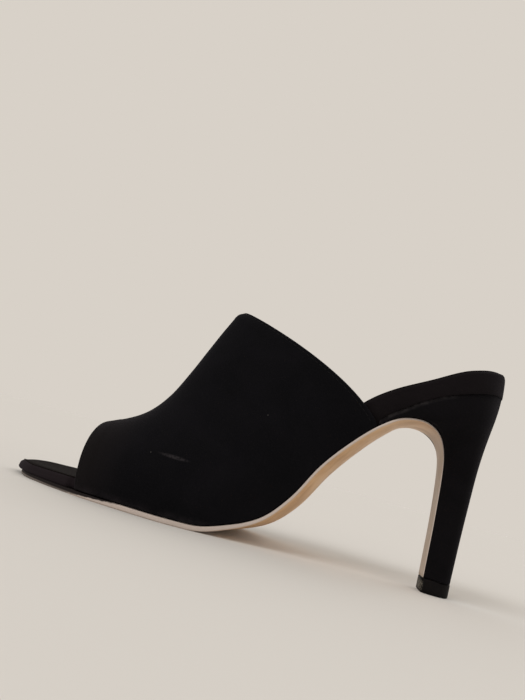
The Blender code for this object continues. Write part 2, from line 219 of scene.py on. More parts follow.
def soleColumns():
    drop = last["tipFront"] - last["archReach"]
    flapRise = flap["rise"] * last["archHeight"]
    flapRise[-1] = last["topPiece"] + last["gap"]
    ground = last["outsoleEdge"] * forepart["edge"] + last["archHeight"] * forepart["rise"]
    columns = {
        "x": joined("run", (forepart, last["toeReach"], 0), (waist, last["archReach"], 0),
                    (arch, last["archReach"], 0), (flap, drop, last["archReach"])),
        "z": np.concatenate((ground, waist["rise"] * last["archHeight"],
                             arch["rise"] * last["archHeight"], flapRise)),
    }
    for side in ("inner", "outer"):
        columns[side] = joined(side, (forepart, last["ballWidth"], 0), (waist, last["waistWidth"], 0),
                               (arch, last["waistWidth"], 0), (flap, last["tipWidth"], 0))
    for kind, size in (("edge", last["outsoleEdge"]), ("crown", last["waistCrown"])):
        columns[kind] = joined(kind, *[(part, size, 0) for part in (forepart, waist, arch, flap)])
    return columns


def bedColumns():
    start = float(waist["run"][-1]) * last["archReach"]
    ground = last["outsoleEdge"] * forepart["edge"] + last["archHeight"] * forepart["rise"]
    columns = {
        "x": joined("run", (forepart, last["toeReach"], 0), (waist, last["archReach"], 0),
                    (seat, last["seatReach"] - start, start)),
        "z": np.concatenate((ground, waist["rise"] * last["archHeight"], seat["rise"] * last["seatHeight"])),
    }
    for side in ("inner", "outer"):
        columns[side] = joined(side, (forepart, last["ballWidth"], 0), (waist, last["waistWidth"], 0),
                               (seat, last["seatWidth"], 0))
    return columns


soleLine = LastLine(soleColumns())
bedLine = LastLine(bedColumns())


# Places of the cross-sections: close together round the ends, even between them
def stations(line, spacing, seatEnd):
    turn = 1 - np.cos(np.linspace(0, math.pi / 2, last["endRows"], endpoint=False))
    finish = line.length - (last["seatRound"] if seatEnd else 0.0)
    count = math.ceil((finish - last["toeRound"]) / spacing)
    places = [turn * last["toeRound"], np.linspace(last["toeRound"], finish, count)]
    if seatEnd:
        places.append(line.length - turn[::-1] * last["seatRound"])
    return np.unique(np.round(np.concatenate(places), 7))


def meshObject(name, build, *materials):
    mesh = bpy.data.meshes.new(name)
    build.to_mesh(mesh)
    build.free()
    for material in materials:
        mesh.materials.append(material)
    return linkObject(name, mesh)


# A closed skin over rings of points, its faces outwards
def skin(name, points, material):
    rows, count = points.shape[:2]
    along = np.concatenate((np.zeros((1, count)), np.cumsum(
        np.linalg.norm(np.diff(points, axis=0), axis=2), axis=0)))
    ring = np.concatenate((points, points[:, :1]), axis=1)
    around = np.concatenate((np.zeros((rows, 1)), np.cumsum(
        np.linalg.norm(np.diff(ring, axis=1), axis=2), axis=1)), axis=1)
    build = bmesh.new()
    verts = [build.verts.new(p) for p in points.reshape(-1, 3)]
    layer = build.loops.layers.uv.new("surface")
    for i in range(rows - 1):
        for j in range(count):
            k = (j + 1) % count
            corners = ((i, j, j), (i, k, j + 1), (i + 1, k, j + 1), (i + 1, j, j))
            face = build.faces.new([verts[row * count + column] for row, column, turn in corners])
            for loop, (row, column, turn) in zip(face.loops, corners):
                loop[layer].uv = (along[row, column], around[row, turn])
    for first in (0, (rows - 1) * count):
        build.faces.new(verts[first:first + count])
    for face in build.faces:
        face.smooth = True
    bmesh.ops.recalc_face_normals(build, faces=build.faces)
    if build.calc_volume(signed=True) < 0:
        bmesh.ops.reverse_faces(build, faces=build.faces)
    return meshObject(name, build, material)


# One float for each point, which a material can read by its name
def storeFloat(piece, name, values):
    attribute = piece.data.attributes.new(name, "FLOAT", "POINT")
    attribute.data.foreach_set("value", np.asarray(values, dtype=np.float32).ravel())


def across(place, up, y, lift):
    return np.stack((place[:, None, 0] + up[:, None, 0] * lift, y,
                     place[:, None, 1] + up[:, None, 1] * lift), axis=-1)


# Gives a node's inputs their values, or the sockets that feed them
def feed(tree, node, inputs):
    for key, value in inputs.items():
        if isinstance(value, bpy.types.NodeSocket):
            tree.links.new(value, node.inputs[key])
        else:
            node.inputs[key].default_value = value


def addNode(tree, kind, inputs=None, **settings):
    node = tree.nodes.new(kind)
    for key, value in settings.items():
        setattr(node, key, value)
    feed(tree, node, inputs or {})
    return node


def newMaterial(name):
    material = bpy.data.materials.new(name)
    material.use_nodes = True
    tree = material.node_tree
    return material, tree, addNode(tree, "ShaderNodeTexCoord").outputs["Object"]


# The grains of a surface, each scaled from its real size in mm. stretch draws one out along an
# axis, turn lays it over, and warp makes it wander.
def addGrains(tree, coords, rows):
    grains = {}
    for name, row in rows.items():
        place = coords
        if "stretch" in row:
            place = addNode(tree, "ShaderNodeMapping", {
                "Vector": coords, "Scale": row["stretch"],
                "Rotation": row.get("turn", (0.0, 0.0, 0.0))}).outputs[0]
        grains[name] = addNode(tree, "ShaderNodeTexNoise", {
            "Vector": place, "Scale": 1 / (row["mm"] * millimetre), "Detail": row.get("detail", 3.0),
            "Roughness": row.get("rough", 0.55), "Distortion": row.get("warp", 0.0)}).outputs[0]
    return grains


# How strongly something shows. Each reach gives what it follows, a low and a high value of that,
# and the shares at the two. A bare socket counts as it is, and several reaches are multiplied.
def showing(tree, *reaches):
    share = None
    for part in reaches:
        if isinstance(part, tuple):
            follows, low, high, atLow, atHigh = part
            limits = {0: follows, 1: low, 2: high, 3: atLow, 4: atHigh}
            part = addNode(tree, "ShaderNodeMapRange", limits, interpolation_type="SMOOTHSTEP").outputs[0]
        if share is not None:
            part = addNode(tree, "ShaderNodeMath", {0: share, 1: part}, operation="MULTIPLY").outputs[0]
        share = part
    return share


# Lays tones over a colour one by one, each where its reaches let it show
def layTones(tree, colour, *layers):
    for tone, *reaches in layers:
        colour = addNode(tree, "ShaderNodeMix", {
            0: showing(tree, *reaches), 6: colour, 7: linearFromHex(tone)}, data_type="RGBA").outputs[2]
    return colour


# Feeds the material's shader. A relief is a height, a strength and a depth in mm.
def dressShader(tree, inputs, *reliefs):
    normal = {}
    for height, strength, depth in reliefs:
        bump = addNode(tree, "ShaderNodeBump", {
            "Height": height, "Strength": strength, "Distance": depth * millimetre, **normal})
        normal = {"Normal": bump.outputs[0]}
    feed(tree, tree.nodes["Principled BSDF"], {**inputs, **normal})


# Suede is split hide sanded to a nap about 0.4 mm long. It drinks light, shows brushed
# patches where the nap lies another way, and has a pale rim of sheen where it turns off.
suedeLooks = {
    # Each piece's deep tone, raised tone and sheen
    "vamp": ("#08080B", "#100F13", 0.065), "heel": ("#0A090B", "#110F12", 0.065),
    "footbed": ("#100D0F", "#191517", 0.06), "sock": ("#100B0A", "#171110", 0.02),
    "paleFlecks": "#2E2A2E", "patchShare": 0.6, "clumpShare": 0.55, "fibreShare": 0.30,
    "sheenTint": "#8A86A0", "roughness": 0.95, "specular": 0.09, "sheenRoughness": 0.45,
    "clumpRelief": (0.55, 0.25), "fibreRelief": (0.6, 0.12),
}
suedeGrains = {
    "patches": {"mm": 24.0, "rough": 0.6, "warp": 0.8},
    "clumps": {"mm": 0.9, "detail": 4.0, "rough": 0.7},
    # Real fibres are about 0.05 mm thick: drawn coarser, so that they show
    "fibres": {"mm": 0.28, "rough": 0.75, "stretch": (0.35, 1.0, 1.0), "turn": (0.0, 0.5, 0.2)},
}


def makeSuede(name, piece, marks=None):
    deep, raised, sheen = suedeLooks[piece]
    material, tree, coords = newMaterial(name)
    grains = addGrains(tree, coords, suedeGrains)
    colour = layTones(
        tree, linearFromHex(deep),
        (raised, (grains["patches"], 0.3, 0.75, 0.0, suedeLooks["patchShare"])),
        (raised, (grains["clumps"], 0.45, 0.75, 0.0, suedeLooks["clumpShare"])),
        (suedeLooks["paleFlecks"], (grains["fibres"], 0.55, 0.85, 0.0, suedeLooks["fibreShare"])))
    if marks:
        colour = marks(tree, coords, colour, grains["clumps"])
    inputs = {
        "Base Color": colour, "Roughness": suedeLooks["roughness"],
        "Specular IOR Level": suedeLooks["specular"],
        "Sheen Weight": sheen, "Sheen Roughness": suedeLooks["sheenRoughness"],
        "Sheen Tint": linearFromHex(suedeLooks["sheenTint"]),
    }
    dressShader(tree, inputs, (grains["clumps"], *suedeLooks["clumpRelief"]),
                (grains["fibres"], *suedeLooks["fibreRelief"]))
    return material


# The vamp's own marks: a pale rub on the inner side of the toe box, two specks of lint, a painted
# highlight that makes the nap lighter and browner towards the toe, and dust that has settled in it along the
# sole
vampMarks = {
    "rub": {"place": (-0.0108, -0.0340, 0.0269), "half": (0.0084, 0.0060, 0.0010), "lean": 0.8,
            "tone": "#4E4A4D", "share": 0.30},
    "lint": [(0.0214, -0.0211, 0.0555), (-0.0207, -0.0359, 0.0263)],
    "lintMm": 0.3, "lintTone": "#8A8682", "lintShare": 0.3,
    "toe": {"tone": "#1B1716", "from": -0.026, "to": -0.050, "share": 0.5},
    "dustRise": (0.002, 0.0065), "dustShare": 0.5, "dustPatches": {"mm": 5.0},
}
bedMarks = {"toe": {"tone": "#221C1F", "from": -0.038, "to": -0.056, "share": 0.9}}

# A painted glint: a pale line along the seam under the footbed, where the heel's cover is folded in
# and its edge catches the light. It thins out over the stretch where the sole turns down the heel.
flapReach = (0.088, 0.104)
seamGlint = {"tone": "#4A4648", "share": 0.6, "patches": {"mm": 3.0}}


# Distance from a mark's middle, with 1 at its oval border
def fromMark(tree, coords, place, half, lean=0.0):
    turned = addNode(tree, "ShaderNodeMapping", {
        "Vector": coords, "Location": place, "Rotation": (0.0, math.radians(lean), 0.0),
        "Scale": half}, vector_type="TEXTURE").outputs[0]
    return addNode(tree, "ShaderNodeVectorMath", {0: turned}, operation="LENGTH").outputs["Value"]


# A tone that grows lighter towards the toe; on the vamp it is a painted highlight
def paleToe(along, toe):
    return toe["tone"], (along, toe["to"], toe["from"], toe["share"], 0.0)


def markFootbed(tree, coords, colour, clumps):
    along = addNode(tree, "ShaderNodeSeparateXYZ", {"Vector": coords}).outputs["X"]
    return layTones(tree, colour, paleToe(along, bedMarks["toe"]))


def markVamp(tree, coords, colour, clumps):
    axes = addNode(tree, "ShaderNodeSeparateXYZ", {"Vector": coords}).outputs
    rub = vampMarks["rub"]
    rubbed = fromMark(tree, coords, rub["place"], rub["half"], rub["lean"])
    size = vampMarks["lintMm"] * millimetre
    specks = [fromMark(tree, coords, place, (size, 4 * size, size)) for place in vampMarks["lint"]]
    paleFlecks = addGrains(tree, coords, {"patches": vampMarks["dustPatches"]})["patches"]
    return layTones(
        tree, colour,
        (rub["tone"], (rubbed, 0.35, 1.0, rub["share"], 0.0), (clumps, 0.35, 0.60, 0.25, 1.0)),
        *[(vampMarks["lintTone"], (speck, 0.3, 1.0, vampMarks["lintShare"], 0.0)) for speck in specks],
        # Painted highlight: the nap lighter and browner towards the toe, where light grazes it
        paleToe(axes["X"], vampMarks["toe"]),
        (suedeLooks["paleFlecks"], (axes["Z"], *vampMarks["dustRise"], vampMarks["dustShare"], 0.0),
         (paleFlecks, 0.30, 0.70, 0.0, 1.0)))


def markSeamGlint(tree, coords, colour, clumps):
    near = addNode(tree, "ShaderNodeAttribute", attribute_name="seamEdge").outputs["Fac"]
    along = addNode(tree, "ShaderNodeSeparateXYZ", {"Vector": coords}).outputs["X"]
    paleFlecks = addGrains(tree, coords, {"patches": seamGlint["patches"]})["patches"]
    # Painted glint of the seam's folded edge, broken up by patches
    return layTones(tree, colour, (seamGlint["tone"], near, (along, *flapReach, seamGlint["share"], 0.0),
                                   (paleFlecks, 0.35, 0.6, 0.3, 1.0)))


# Kid lining: glazed black leather, thin and fairly smooth, so the inside shines softly
liningLooks = {"deep": "#131114", "glazed": "#211D21", "dull": (0.42, 0.58), "relief": (0.35, 0.1)}
liningGrains = {"pebbles": {"mm": 0.7, "detail": 4.0, "rough": 0.6}, "patches": {"mm": 16.0}}


def makeLining():
    material, tree, coords = newMaterial("blackGlazedKidLining")
    grains = addGrains(tree, coords, liningGrains)
    colour = layTones(tree, linearFromHex(liningLooks["deep"]),
                      (liningLooks["glazed"], (grains["patches"], 0.35, 0.65, 0.0, 1.0)))
    rough = showing(tree, (grains["pebbles"], 0.3, 0.7, *liningLooks["dull"]))
    relief = (grains["pebbles"], *liningLooks["relief"])
    dressShader(tree, {"Base Color": colour, "Roughness": rough}, relief)
    return material


# Sole leather: vegetable-tanned, painted nude and waxed. Smooth and a little glossy at the
# waist, rubbed grey and matt under the tread, with a paler trimmed edge. Painted shade darkens the
# flap down the heel's front, and with dirt the edge towards the toe.
soleLooks = {
    "waist": "#D6AC7B", "waistDeep": "#C09567", "flap": "#AB9A88", "bare": "#B9A08A", "scuff": "#8D7B6C",
    "edge": "#C9BCB4", "edgeShadeAndDirt": "#1F1A1A",
    "treadTop": 0.0035, "treadEnds": (0.010, 0.024),                 # wear fades out up to here, and along X
    "shadeAndDirtEnds": (-0.049, -0.042),                                    # painted shade and dirt are full and gone, along X
    "shadeAndDirtRagged": 0.014, "shadeAndDirtClimb": 0.024,
    "ior": 1.48, "waxed": (0.36, 0.46), "treadMatt": 0.35,
    "poreRelief": (0.25, 0.08), "scratchRelief": (0.6, 0.2),
}
soleGrains = {
    "clouds": {"mm": 7.0, "detail": 4.0, "rough": 0.6, "stretch": (0.3, 1.0, 0.5)},
    "smears": {"mm": 9.0, "detail": 6.0, "rough": 0.65, "warp": 1.2, "stretch": (0.45, 1.0, 1.0)},
    "scratches": {"mm": 1.1, "detail": 5.0, "rough": 0.7, "stretch": (0.2, 1.0, 1.0),
                  "turn": (0.0, 0.0, 0.3)},
    "ragged": {"mm": 2.2, "detail": 4.0, "rough": 0.7},
    "pores": {"mm": 0.5, "detail": 4.0, "rough": 0.65},
}


def makeSoleLeather():
    material, tree, coords = newMaterial("nudeWaxedSoleLeather")
    axes = addNode(tree, "ShaderNodeSeparateXYZ", {"Vector": coords}).outputs
    side = addNode(tree, "ShaderNodeAttribute", attribute_name="sideEdge").outputs["Fac"]
    grains = addGrains(tree, coords, soleGrains)
    tread = showing(tree, (axes["Z"], 0.0, soleLooks["treadTop"], 1.0, 0.0),
                    (axes["X"], *soleLooks["treadEnds"], 1.0, 0.0))
    # Darker edge towards the toe, partly painted shade where the edge turns from the light and partly
    # street dirt: its ragged border lies further back higher up
    border = addNode(tree, "ShaderNodeMath", {
        0: grains["ragged"], 1: soleLooks["shadeAndDirtRagged"], 2: axes["X"]}, operation="MULTIPLY_ADD").outputs[0]
    climb = showing(tree, (axes["Z"], 0.0, last["outsoleEdge"], 0.0, soleLooks["shadeAndDirtClimb"]))
    border = addNode(tree, "ShaderNodeMath", {0: border, 1: climb}, operation="SUBTRACT").outputs[0]
    shadedAndDirty = showing(tree, (border, *soleLooks["shadeAndDirtEnds"], 1.0, 0.0), (side, 0.70, 0.92, 0.62, 1.0))
    # Waist and flap, the flap greyer with painted shade, then bare leather and grey smears under the
    # tread, then the trimmed edge
    colour = layTones(
        tree, linearFromHex(soleLooks["waist"]),
        (soleLooks["waistDeep"], (grains["clouds"], 0.35, 0.7, 0.0, 1.0)),
        # Painted shade: the flap down the heel's front drawn greyer and darker
        (soleLooks["flap"], (axes["X"], *flapReach, 0.0, 1.0)),
        (soleLooks["bare"], tread),
        (soleLooks["scuff"], tread, (grains["smears"], 0.42, 0.62, 0.0, 1.0),
         (grains["scratches"], 0.35, 0.6, 0.35, 0.9)),
        (soleLooks["edge"], (side, 0.35, 0.8, 0.0, 1.0)),
        # Painted shade with dirt: the edge darkened towards the toe
        (soleLooks["edgeShadeAndDirt"], shadedAndDirty))
    waxed = showing(tree, (grains["clouds"], 0.3, 0.7, *soleLooks["waxed"]))
    rough = addNode(tree, "ShaderNodeMath", {0: tread, 1: soleLooks["treadMatt"], 2: waxed},
                    operation="MULTIPLY_ADD", use_clamp=True).outputs[0]
    inputs = {
        "Base Color": colour, "Roughness": rough, "IOR": soleLooks["ior"],
        "Specular IOR Level": showing(tree, (shadedAndDirty, 0.2, 0.9, 0.5, 0.1)),
    }
    dressShader(tree, inputs, (grains["pores"], *soleLooks["poreRelief"]),
                (showing(tree, grains["scratches"], tread), *soleLooks["scratchRelief"]))
    return material


# Top-piece rubber: moulded and ground flush. Near black, dull, with a pale chafed front corner.
rubberLooks = {
    "body": "#090708", "chalky": "#141112", "chafed": "#77736A", "specular": 0.10, "dull": (0.5, 0.72),
    "chafedFrom": -0.0006, "chafedTo": 0.0004, "chafedFoot": (0.0004, 0.0016), "chafedTop": (0.0038, 0.0054),
    "relief": (0.4, 0.15),
}
rubberGrains = {"grit": {"mm": 0.8, "detail": 5.0, "rough": 0.7}}


def makeRubber():
    material, tree, coords = newMaterial("blackMouldedTopPieceRubber")
    axes = addNode(tree, "ShaderNodeSeparateXYZ", {"Vector": coords}).outputs
    grit = addGrains(tree, coords, rubberGrains)["grit"]
    front = last["tipFront"]
    colour = layTones(
        tree, linearFromHex(rubberLooks["body"]),
        (rubberLooks["chalky"], (grit, 0.4, 0.7, 0.0, 1.0)),
        (rubberLooks["chafed"],
         (axes["X"], front + rubberLooks["chafedFrom"], front + rubberLooks["chafedTo"], 1.0, 0.0),
         (axes["Z"], *rubberLooks["chafedFoot"], 0.0, 1.0), (axes["Z"], *rubberLooks["chafedTop"], 1.0, 0.0),
         (grit, 0.42, 0.60, 0.0, 1.0)))
    inputs = {
        "Base Color": colour, "Roughness": showing(tree, (grit, 0.3, 0.7, *rubberLooks["dull"])),
        "Specular IOR Level": rubberLooks["specular"],
    }
    dressShader(tree, inputs, (grit, *rubberLooks["relief"]))
    return material


# Bonded nylon thread: filaments too fine to see, so it only gleams a little
threadLooks = {"deep": "#0B0A0C", "raised": "#141316", "roughness": 0.62, "specular": 0.2}
threadGrains = {"twist": {"mm": 0.3, "detail": 2.0}}


def makeThread():
    material, tree, coords = newMaterial("blackBondedNylonThread")
    twist = addGrains(tree, coords, threadGrains)["twist"]
    colour = layTones(tree, linearFromHex(threadLooks["deep"]),
                      (threadLooks["raised"], (twist, 0.35, 0.65, 0.0, 1.0)))
    dressShader(tree, {"Base Color": colour, "Roughness": threadLooks["roughness"],
                       "Specular IOR Level": threadLooks["specular"]})
    return material


vampSuede = makeSuede("blackNappedVampSuede", "vamp", markVamp)
heelSuede = makeSuede("blackSuedeGluedOverHeel", "heel", markSeamGlint)
footbedSuede = makeSuede("blackSuedeWrappedFootbed", "footbed", markFootbed)
sockSuede = makeSuede("blackSuedeSockSheet", "sock")
liningKid = makeLining()
soleLeather = makeSoleLeather()
heelRubber = makeRubber()
seamThread = makeThread()
print("materials made")

# Outsole: one ribbon of leather from the toe to the foot of the heel
outsoleCut = {
    "cornerRadius": 0.0006, "spacing": 0.0012, "cornerSteps": 5, "underSteps": 34, "topSteps": 8,
    "toeSetBack": 0.0028, "setBackReach": 0.034,
    "cornerShare": (0.8, 0.5), "underShare": (0.5, 12.0),     # how much of the trimmed edge shows there
}


def makeOutsole():
    s = stations(soleLine, outsoleCut["spacing"], False)
    low, high = soleLine.sides(s)
    s = s + outsoleCut["toeSetBack"] * np.clip(1 - s / outsoleCut["setBackReach"], 0, 1) ** 2
    place, up = soleLine.frame(s)
    edge, crown = soleLine.value("edge", s), soleLine.value("crown", s)
    corner = np.minimum(np.minimum(outsoleCut["cornerRadius"], (high - low) / 5), edge / 3)
    turn = np.linspace(0, math.pi / 2, outsoleCut["cornerSteps"] + 1)
    cornerFrom, cornerTo = outsoleCut["cornerShare"]
    underFrom, underFall = outsoleCut["underShare"]
    y, lift, side = [], [], []
    for a in turn:
        y.append(low + corner * (1 - math.sin(a)))
        lift.append(-corner * (1 - math.cos(a)))
        side.append(1.0)
    for a in turn:
        y.append(low + corner * (1 - math.cos(a)))
        lift.append(-edge + corner * (1 - math.sin(a)))
        side.append(cornerFrom + (cornerTo - cornerFrom) * a / (math.pi / 2))
    for v in np.linspace(0, 1, outsoleCut["underSteps"])[1:-1]:
        y.append(low + corner + (high - low - 2 * corner) * v)
        lift.append(-edge - crown * (1 - (2 * v - 1) ** 2))
        side.append(max(0.0, underFrom - underFall * min(v, 1 - v)))
    for a in turn[::-1]:
        y.append(high - corner * (1 - math.cos(a)))
        lift.append(-edge + corner * (1 - math.sin(a)))
        side.append(cornerFrom + (cornerTo - cornerFrom) * a / (math.pi / 2))
    for a in turn[::-1]:
        y.append(high - corner * (1 - math.sin(a)))
        lift.append(-corner * (1 - math.cos(a)))
        side.append(1.0)
    for v in np.linspace(0, 1, outsoleCut["topSteps"])[1:-1]:
        y.append(high - corner - (high - low - 2 * corner) * v)
        lift.append(np.zeros_like(s))
        side.append(1.0)
    points = across(place, up, np.stack(y, axis=1), np.stack(lift, axis=1))
    piece = skin("leatherOutsole", points, soleLeather)
    sides = np.tile(side, (len(s), 1))
    sides[0] = 1.0                       # the nose shows the trimmed edge alone
    storeFloat(piece, "sideEdge", sides)
    return piece


outsole = makeOutsole()
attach(outsole, "root")
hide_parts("outsole")
print("outsole cut")

# Vamp: one hollow shell of suede and lining, its edges folded over
vampForm = {
    "peepBase": 0.0494, "peepLean": 0.0026, "instepReach": 0.0041, "toplineBase": 0.0692,
    "fullness": 0.0042, "toplineBow": 0.0052, "crestOffset": 0.0050, "wall": 0.0018,
    "rows": 118, "columns": 196, "sideLength": 0.095,
    "edgeFold": 0.0065, "foldHeight": 0.00018, "foldEase": 0.0012,
    "stitchFrom": 0.0021, "stitchGroove": 0.00014, "grooveHalf": 0.0005, "stitchClear": 0.0035,
    "bowLean": 0.66, "featherRound": 0.00035, "creaseClear": 0.006, "linedFrom": 0.0015,
    "bellySteps": 40, "turnSteps": 120, "edgeMm": (0.0, 0.03, 0.12, 0.27, 0.48, 0.75, 1.1),
}
vampSections = table(
    "base run rise full level bow crest power",
    (0.000, 0.000, 0.000, 0.25, 0.30, -0.07, 1.00, 2.35),
    (0.125, 0.140, 0.043, 0.45, 0.28, -0.03, 1.00, 2.25),
    (0.275, 0.340, 0.132, 0.70, 0.27, 0.00, 1.00, 2.15),
    (0.425, 0.510, 0.291, 0.95, 0.28, 0.18, 0.90, 2.05),
    (0.565, 0.636, 0.494, 1.00, 0.30, 0.45, 0.80, 2.05),
    (0.690, 0.740, 0.682, 1.05, 0.32, 0.73, 0.65, 2.10),
    (0.800, 0.840, 0.855, 1.05, 0.34, 0.91, 0.50, 2.15),
    (0.905, 0.928, 0.974, 0.85, 0.35, 1.00, 0.45, 2.20),
    (1.000, 1.000, 1.000, 0.50, 0.36, 1.00, 0.40, 2.25),
)


def vampColumn(name, share):
    return float(smoothCurve(vampSections["base"], vampSections[name], share))


# Where the vamp's edges stand on the sole, and the line its crest follows
vampStart, vampEnd = soleLine.atX(-vampForm["peepBase"]), soleLine.atX(vampForm["toplineBase"])


def vampCrest(share):
    crestStart = -(vampForm["peepBase"] + vampForm["peepLean"])
    return np.array([
        crestStart + vampColumn("run", share) * (-vampForm["instepReach"] - crestStart),
        last["peepHeight"] + vampColumn("rise", share) * (last["instepHeight"] - last["peepHeight"])])


# How far the vamp's side stands out past the feather edge at a height above the sole
def vampBelly(share, height):
    base, _ = soleLine.frame(np.array([vampStart + share * (vampEnd - vampStart)]), last["gap"])
    level = vampColumn("level", share)
    t = np.clip(height / np.linalg.norm(vampCrest(share) - base[0]), 0, level)
    return vampForm["fullness"] * vampColumn("full", share) * (1 - ((level - t) / level) ** 2)


# Footbed: a padded board wrapped in suede
bedForm = {
    "toe": 0.0043, "waist": 0.0108, "seat": 0.0084,
    "edgeRound": 0.0020, "seatEndRound": 0.0045, "dish": 0.0008, "dishHalf": 0.01875, "step": 0.0006,
    "noseOver": (0.0105, 0.0029), "noseUnder": (0.0034, 0.0009),     # reach along, and height taken off
    "toeSoft": 0.9, "toeSoftReach": 0.032, "wedgeEnd": 0.0697, "wedgeEase": 0.0010,
    "seatLean": 0.18, "leanReach": 0.024,
    "settled": 0.00006, "footRound": 0.00015,
    "wall": 0.0018, "sideBulge": 0.00025, "bulgeHalf": 0.004,
    "spacing": 0.0013, "sideRows": 7, "turnRows": 9, "topRows": 13,
    "coveredFrom": -0.0523, "coveredMore": 0.0020, "coveredEase": 0.0012, "liningClear": 0.0003,
    "turnOfHalf": 0.5, "turnOfTall": 0.8, "footOfHalf": 0.2,         # most that a corner takes of a section
}
bedHeight = table(
    "along toe waist seat",
    (0.00, 1.00, 0.00, 0.00),
    (0.30, 0.95, 0.12, 0.00),
    (0.50, 0.40, 0.60, 0.00),
    (0.68, 0.00, 1.04, 0.00),
    (0.76, 0.00, 0.70, 0.27),
    (0.81, 0.00, 0.30, 0.70),
    (0.88, 0.00, 0.00, 0.99),
    (0.93, 0.00, 0.00, 1.22),
    (1.00, 0.00, 0.00, 1.29),
)


# How much a quarter of an ellipse takes off near an end
def roundedEnd(fromEnd, reach, height):
    return height * (1 - np.sqrt(1 - np.clip(1 - fromEnd / reach, 0, 1) ** 2))


def bedTop(s):
    share = s / bedLine.length
    height = sum(smoothCurve(bedHeight["along"], bedHeight[name], share) * bedForm[name]
                 for name in ("toe", "waist", "seat"))
    seatRound = bedForm["seatEndRound"]
    nose = roundedEnd(s, *bedForm["noseOver"])
    return height - nose - roundedEnd(bedLine.length - s, seatRound, seatRound)


# How far the footbed reaches down to the outsole, where the two part in front of the heel
def bedWedge(place, up):
    drop = (place[:, 1] - soleLine.heightAtX(place[:, 0])) * up[:, 1]
    return drop * np.clip((bedForm["wedgeEnd"] - place[:, 0]) / bedForm["wedgeEase"], 0, 1)


# Corner radius of the footbed's upper edge: larger round the toe, smaller where it is narrow or low
def bedTurn(s, half, height):
    toe = np.clip(1 - s / bedForm["toeSoftReach"], 0, 1)
    turn = bedForm["edgeRound"] * (1 + bedForm["toeSoft"] * toe)
    tall = height - roundedEnd(s, *bedForm["noseUnder"]) - bedForm["settled"] - 2 * bedForm["footRound"]
    return np.minimum(np.minimum(turn, half * bedForm["turnOfHalf"]), tall * bedForm["turnOfTall"])


# Narrower under the vamp, where it fills the room between the two walls at any height
def bedSides(s, height):
    start, end = bedLine.atX(bedForm["coveredFrom"]), vampEnd + bedForm["coveredMore"]
    ease = bedForm["coveredEase"]
    hidden = np.clip((s - start + ease) / ease, 0, 1) * np.clip((end + ease - s) / ease, 0, 1)
    inset = bedForm["step"] + hidden * (bedForm["wall"] + bedForm["liningClear"] - bedForm["step"])
    shares = np.clip((s - vampStart) / (vampEnd - vampStart), 0, 1)
    belly = np.array([vampBelly(share, max(tall, 0.0)) for share, tall in zip(shares, height)])
    return bedLine.sides(s, inset - hidden * belly, seatEnd=True)


# Depth of the hollow along the footbed's middle
def bedDish(half):
    return bedForm["dish"] * np.minimum(1.0, half / bedForm["dishHalf"])


# Turns the upward direction back near the seat's end, so that the side leans out behind
def bedLean(s, up):
    near = np.clip(1 - (bedLine.length - s) / bedForm["leanReach"], 0, 1)
    lean = bedForm["seatLean"] * near * near * (3 - 2 * near)
    return up + np.stack((lean, 0 * s), axis=-1)


def makeFootbed():
    s = stations(bedLine, bedForm["spacing"], True)
    place, up = bedLine.frame(s)
    height = bedTop(s)
    low, high = bedSides(s, 0 * s)
    half, middle = (high - low) / 2, (high + low) / 2
    turn = bedTurn(s, half, height)
    foot = np.minimum(bedForm["footRound"], half * bedForm["footOfHalf"])
    sole = bedForm["settled"] + roundedEnd(s, *bedForm["noseUnder"]) - bedWedge(place, up)
    dish = bedDish(half)

    # Half the width at a height: wider with the vamp's belly
    def halfAt(tall):
        left, right = bedSides(s, tall)
        return (right - left) / 2

    y = [half * 0.5, half - foot]
    lift = [sole, sole]
    bottom, top = sole + foot, height - turn
    bulge = bedForm["sideBulge"] * np.minimum(1, half / bedForm["bulgeHalf"])
    for v in np.linspace(0, 1, bedForm["sideRows"], endpoint=False):
        tall = bottom + (top - bottom) * v
        y.append(halfAt(tall) + bulge * math.sin(math.pi * v))
        lift.append(tall)
    topHalf = halfAt(top)
    for a in np.linspace(0, math.pi / 2, bedForm["turnRows"]):
        y.append(topHalf - turn + turn * math.cos(a))
        lift.append(top + turn * math.sin(a))
    for v in np.linspace(1, 0, bedForm["topRows"], endpoint=False)[1:]:
        y.append((topHalf - turn) * v)
        lift.append(height - dish * (1 - v * v))
    y = np.stack([-c for c in y] + [0 * s] + y[::-1] + [0 * s], axis=1) + middle[:, None]
    lift = np.stack(lift + [height - dish] + lift[::-1] + [sole], axis=1)
    return skin("wrappedFootbed", across(place, bedLean(s, up), y, lift), footbedSuede)


# Sock: a thin sheet of suede glued on the footbed. ends: insets left free at toe and seat together,
# under: how deep its underside and its keel sink into the footbed's cover.
sockForm = {
    "thick": 0.0005, "inset": 0.0011, "edge": 0.00025, "ends": 2.6, "edgeDrop": 12, "pastEdge": 0.98,
    "under": (0.0006, 0.0010), "topRows": 14, "edgeRows": 5,
}


